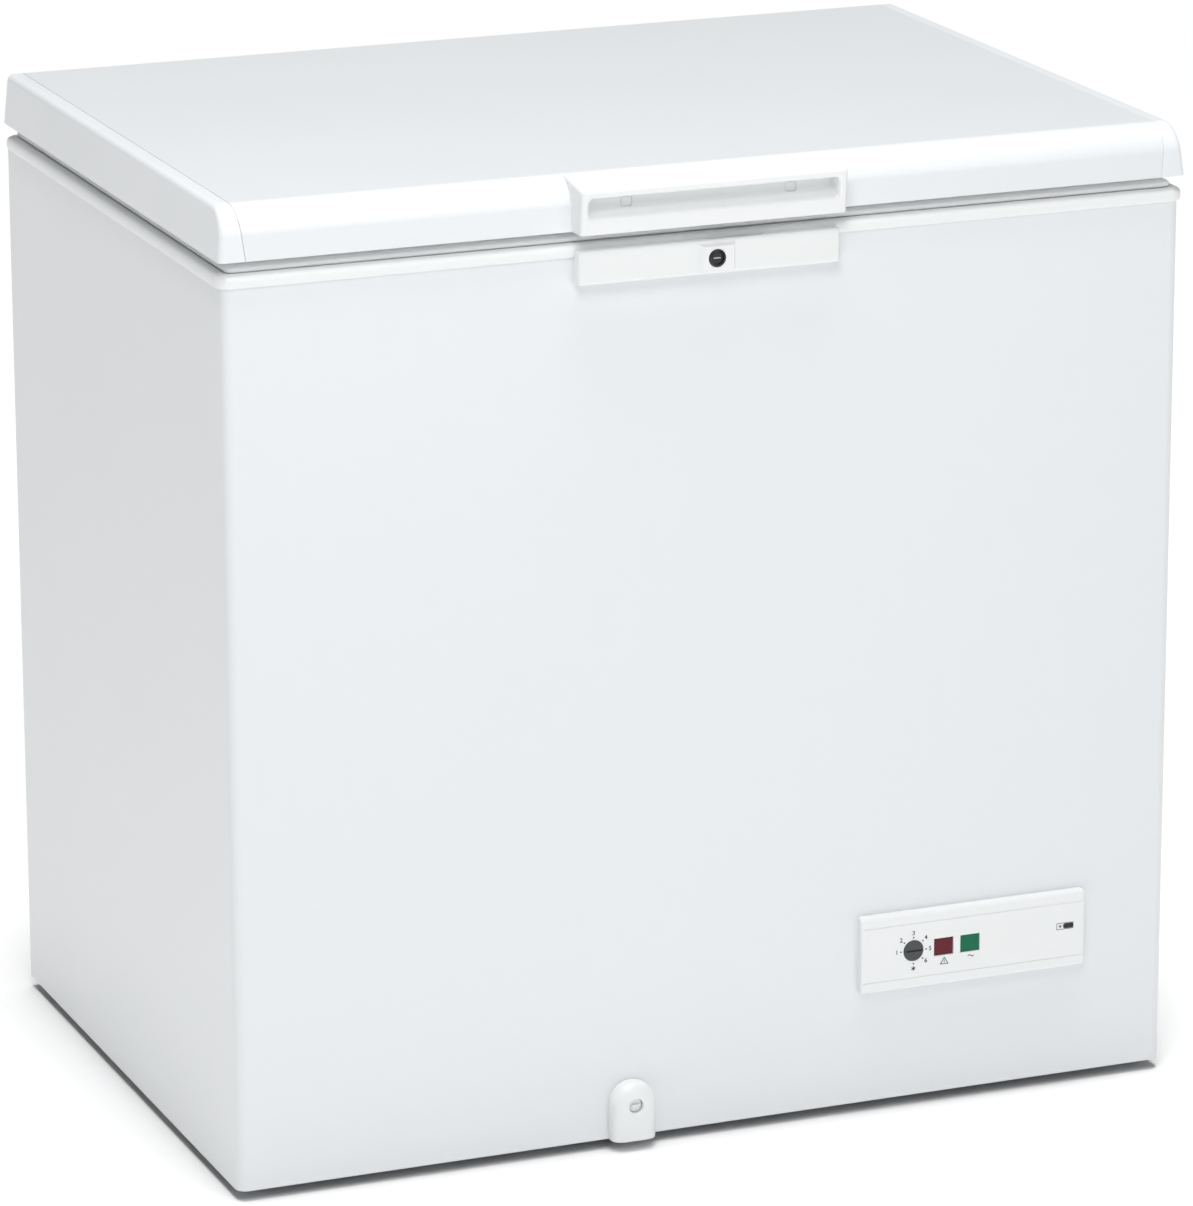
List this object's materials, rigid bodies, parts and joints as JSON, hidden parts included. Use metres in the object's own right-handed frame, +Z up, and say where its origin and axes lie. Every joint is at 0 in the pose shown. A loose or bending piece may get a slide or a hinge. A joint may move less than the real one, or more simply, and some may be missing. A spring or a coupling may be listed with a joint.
{
  "type": "chest freezer",
  "caption": "White chest freezer: top-opening insulated lid with a moulded handle and key lock, low control panel, front drain, hanging wire basket and machine bay.",
  "frame": {"origin": "middle of the footprint of the whole object, on the floor", "axes": "+X to the right as seen from the front, -Y the front with the handle and control panel, +Z up"},
  "size_m": [0.933, 0.689, 0.9168],
  "materials": {
    "white_enamel_sheet": "glossy baked paint on steel sheet",
    "galvanised_sheet": "dull zinc coating",
    "dark_moulding": "fine-textured moulding",
    "coated_liner": "white coated, lightly stuccoed",
    "white_moulding": "satin injection moulding",
    "foam": "closed-cell foam",
    "red_lens": "clear-tinted, fine-ribbed behind",
    "green_lens": "clear-tinted, fine-ribbed behind",
    "zinc_steel": "bright zinc plate",
    "black_enamel": "baked black paint",
    "black_rubber": "moulded",
    "copper_tube": "drawn",
    "grey_seal": "soft extrusion",
    "plated_brass": "polished plating",
    "knob_moulding": "fine-textured moulding",
    "coated_wire": "dip-coated steel wire"
  },
  "bodies": {
    "cabinet": {"outer_wrapper": "white_enamel_sheet", "rear_panel": "galvanised_sheet", "base_pan": "galvanised_sheet", "feet": "dark_moulding", "bay_lining": "galvanised_sheet", "inner_liner": "coated_liner", "liner_floor": "coated_liner", "liner_step": "coated_liner", "rim_frame": "white_moulding", "cabinet_foam": "foam", "drain_tube": "white_moulding", "drain_housing": "white_moulding", "control_fascia": "white_moulding", "red_lens": "red_lens", "green_lens": "green_lens", "lamp_block": "white_moulding", "thermostat_body": "dark_moulding", "lock_plate": "white_moulding", "hinge_housing_left": "zinc_steel", "hinge_housing_right": "zinc_steel", "hinge_pin_left": "zinc_steel", "hinge_pin_right": "zinc_steel", "side_grille": "white_moulding", "rear_cover": "galvanised_sheet", "cord_gland": "dark_moulding", "compressor": "black_enamel", "compressor_grommets": "black_rubber", "relay_cover": "dark_moulding", "suction_pipe": "copper_tube", "discharge_pipe": "copper_tube", "filter_drier": "copper_tube"},
    "lid": {"lid_skin": "white_enamel_sheet", "lid_rail_left": "white_moulding", "lid_rail_right": "white_moulding", "lid_liner": "white_moulding", "lid_foam": "foam", "lid_gasket": "grey_seal", "lid_handle": "white_moulding", "handle_lip": "white_moulding", "handle_screw_covers": "white_moulding", "lock_striker": "zinc_steel", "hinge_arm_left": "zinc_steel", "hinge_arm_right": "zinc_steel"},
    "lock": {"lock_barrel": "plated_brass", "lock_cam": "zinc_steel"},
    "knob": {"thermostat_knob": "knob_moulding"},
    "tank_plug": {"drain_plug": "white_moulding"},
    "stopper": {"outlet_stopper": "white_moulding"},
    "basket": {"storage_basket": "coated_wire"}
  },
  "joints": [
    {"name": "lid_hinge", "type": "hinge", "parent": "cabinet", "child": "lid", "pos_m": [0, 0.3305, 0.855], "axis": [-1, 0, 0], "range_deg": [0, 80]},
    {"name": "lock_turn", "type": "hinge", "parent": "cabinet", "child": "lock", "pos_m": [-0.005, -0.3285, 0.8367], "axis": [0, -1, 0], "range_deg": [0, 90]},
    {"name": "thermostat_turn", "type": "hinge", "parent": "cabinet", "child": "knob", "pos_m": [0.199, -0.3245, 0.156], "axis": [0, 1, 0], "range_deg": [-180, 90]},
    {"name": "tank_plug_lift", "type": "slide", "parent": "cabinet", "child": "tank_plug", "axis": [0, 0, 1], "range_m": [0, 0.06]},
    {"name": "stopper_pull", "type": "slide", "parent": "cabinet", "child": "stopper", "axis": [0, -1, 0], "range_m": [0, 0.04]},
    {"name": "basket_slide", "type": "slide", "parent": "cabinet", "child": "basket", "axis": [-1, 0, 0], "range_m": [0, 0.5]}
  ]
}
